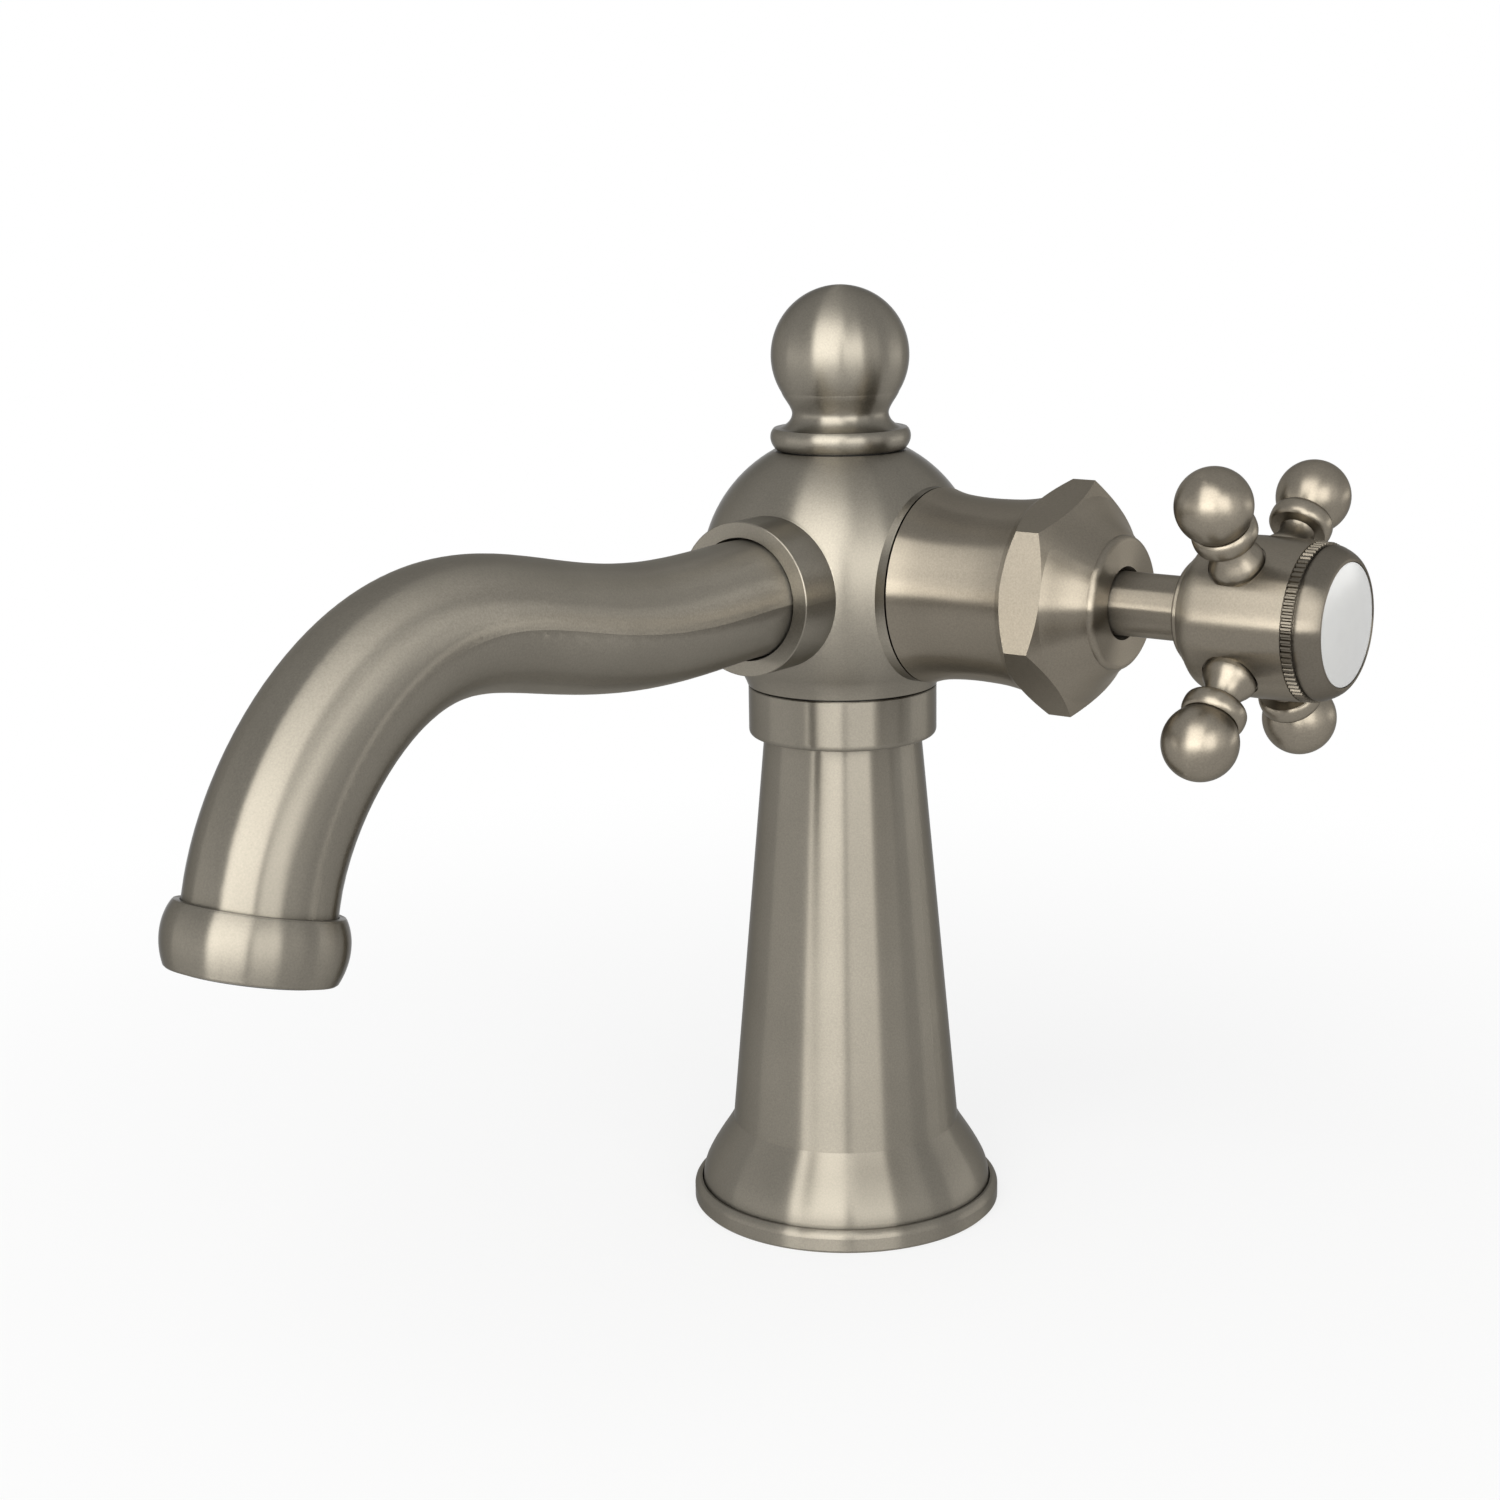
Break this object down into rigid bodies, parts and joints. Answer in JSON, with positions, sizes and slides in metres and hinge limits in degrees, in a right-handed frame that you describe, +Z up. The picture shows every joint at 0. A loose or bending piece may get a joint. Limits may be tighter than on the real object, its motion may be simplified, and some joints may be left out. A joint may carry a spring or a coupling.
{
  "type": "single handle basin faucet",
  "caption": "Basin faucet: tapered column on a round base, ball body with a ball finial, curved down-turned spout in front and a cross handle on a side neck.",
  "frame": {"origin": "centre of the base underside, where the faucet stands on the basin or deck", "axes": "+Z up along the column, the spout reaches towards -Y, the handle neck points towards +X"},
  "size_m": [0.1189, 0.1761, 0.1605],
  "materials": {
    "brushed_nickel": "brushed nickel, satin",
    "handle_nickel": "brushed nickel, satin, slightly warmer",
    "white_porcelain": "glazed white",
    "raw_brass": "machined",
    "copper_tube": "drawn",
    "stainless_steel": "bright",
    "valve_ceramic": "lapped",
    "black_rubber": "matt",
    "grey_plastic": "moulded",
    "white_acetal": "smooth"
  },
  "bodies": {
    "faucet_body": {"aerator_insert": "grey_plastic", "aerator_screen": "stainless_steel", "aerator_shell": "brushed_nickel", "aerator_washer": "black_rubber", "ball_body": "brushed_nickel", "ball_seat_washer": "black_rubber", "base_ring": "brushed_nickel", "bonnet_washer": "black_rubber", "cartridge_base": "grey_plastic", "cartridge_housing": "raw_brass", "cartridge_nut": "raw_brass", "cold_riser": "copper_tube", "cold_riser_seal_lower": "black_rubber", "cold_riser_seal_upper": "black_rubber", "collar_ring": "brushed_nickel", "column_shell": "brushed_nickel", "deck_gasket": "black_rubber", "finial": "brushed_nickel", "finial_stud": "stainless_steel", "finial_washer": "black_rubber", "fixed_disc": "valve_ceramic", "flow_disc": "grey_plastic", "foot_screw_left": "stainless_steel", "foot_screw_right": "stainless_steel", "hex_bonnet": "brushed_nickel", "hot_riser": "copper_tube", "hot_riser_seal_lower": "black_rubber", "hot_riser_seal_upper": "black_rubber", "inlet_block": "raw_brass", "neck_gasket": "black_rubber", "neck_sleeve": "brushed_nickel", "port_seal_cold": "black_rubber", "port_seal_hot": "black_rubber", "port_seal_mix": "black_rubber", "shaft_bush": "white_acetal", "spout_nipple": "raw_brass", "spout_seal": "black_rubber", "spout_tube": "brushed_nickel", "spout_washer": "white_acetal", "stem_seal_1": "black_rubber", "stem_seal_2": "black_rubber", "thrust_washer": "white_acetal"},
    "cross_handle": {"handle_shaft": "handle_nickel", "hub_step_ring": "handle_nickel", "handle_hub": "handle_nickel", "handle_arm_1": "handle_nickel", "handle_arm_2": "handle_nickel", "handle_arm_3": "handle_nickel", "handle_arm_4": "handle_nickel", "handle_screw": "stainless_steel", "index_cap": "handle_nickel", "disc_cushion": "black_rubber", "index_disc": "white_porcelain", "cartridge_stem": "raw_brass", "stem_pin": "stainless_steel", "disc_driver": "grey_plastic", "moving_disc": "valve_ceramic"}
  },
  "joints": [
    {"name": "handle_turn", "type": "hinge", "parent": "faucet_body", "child": "cross_handle", "pos_m": [0, 0, 0.1118], "axis": [1, 0, 0], "range_deg": [0, 105]}
  ]
}
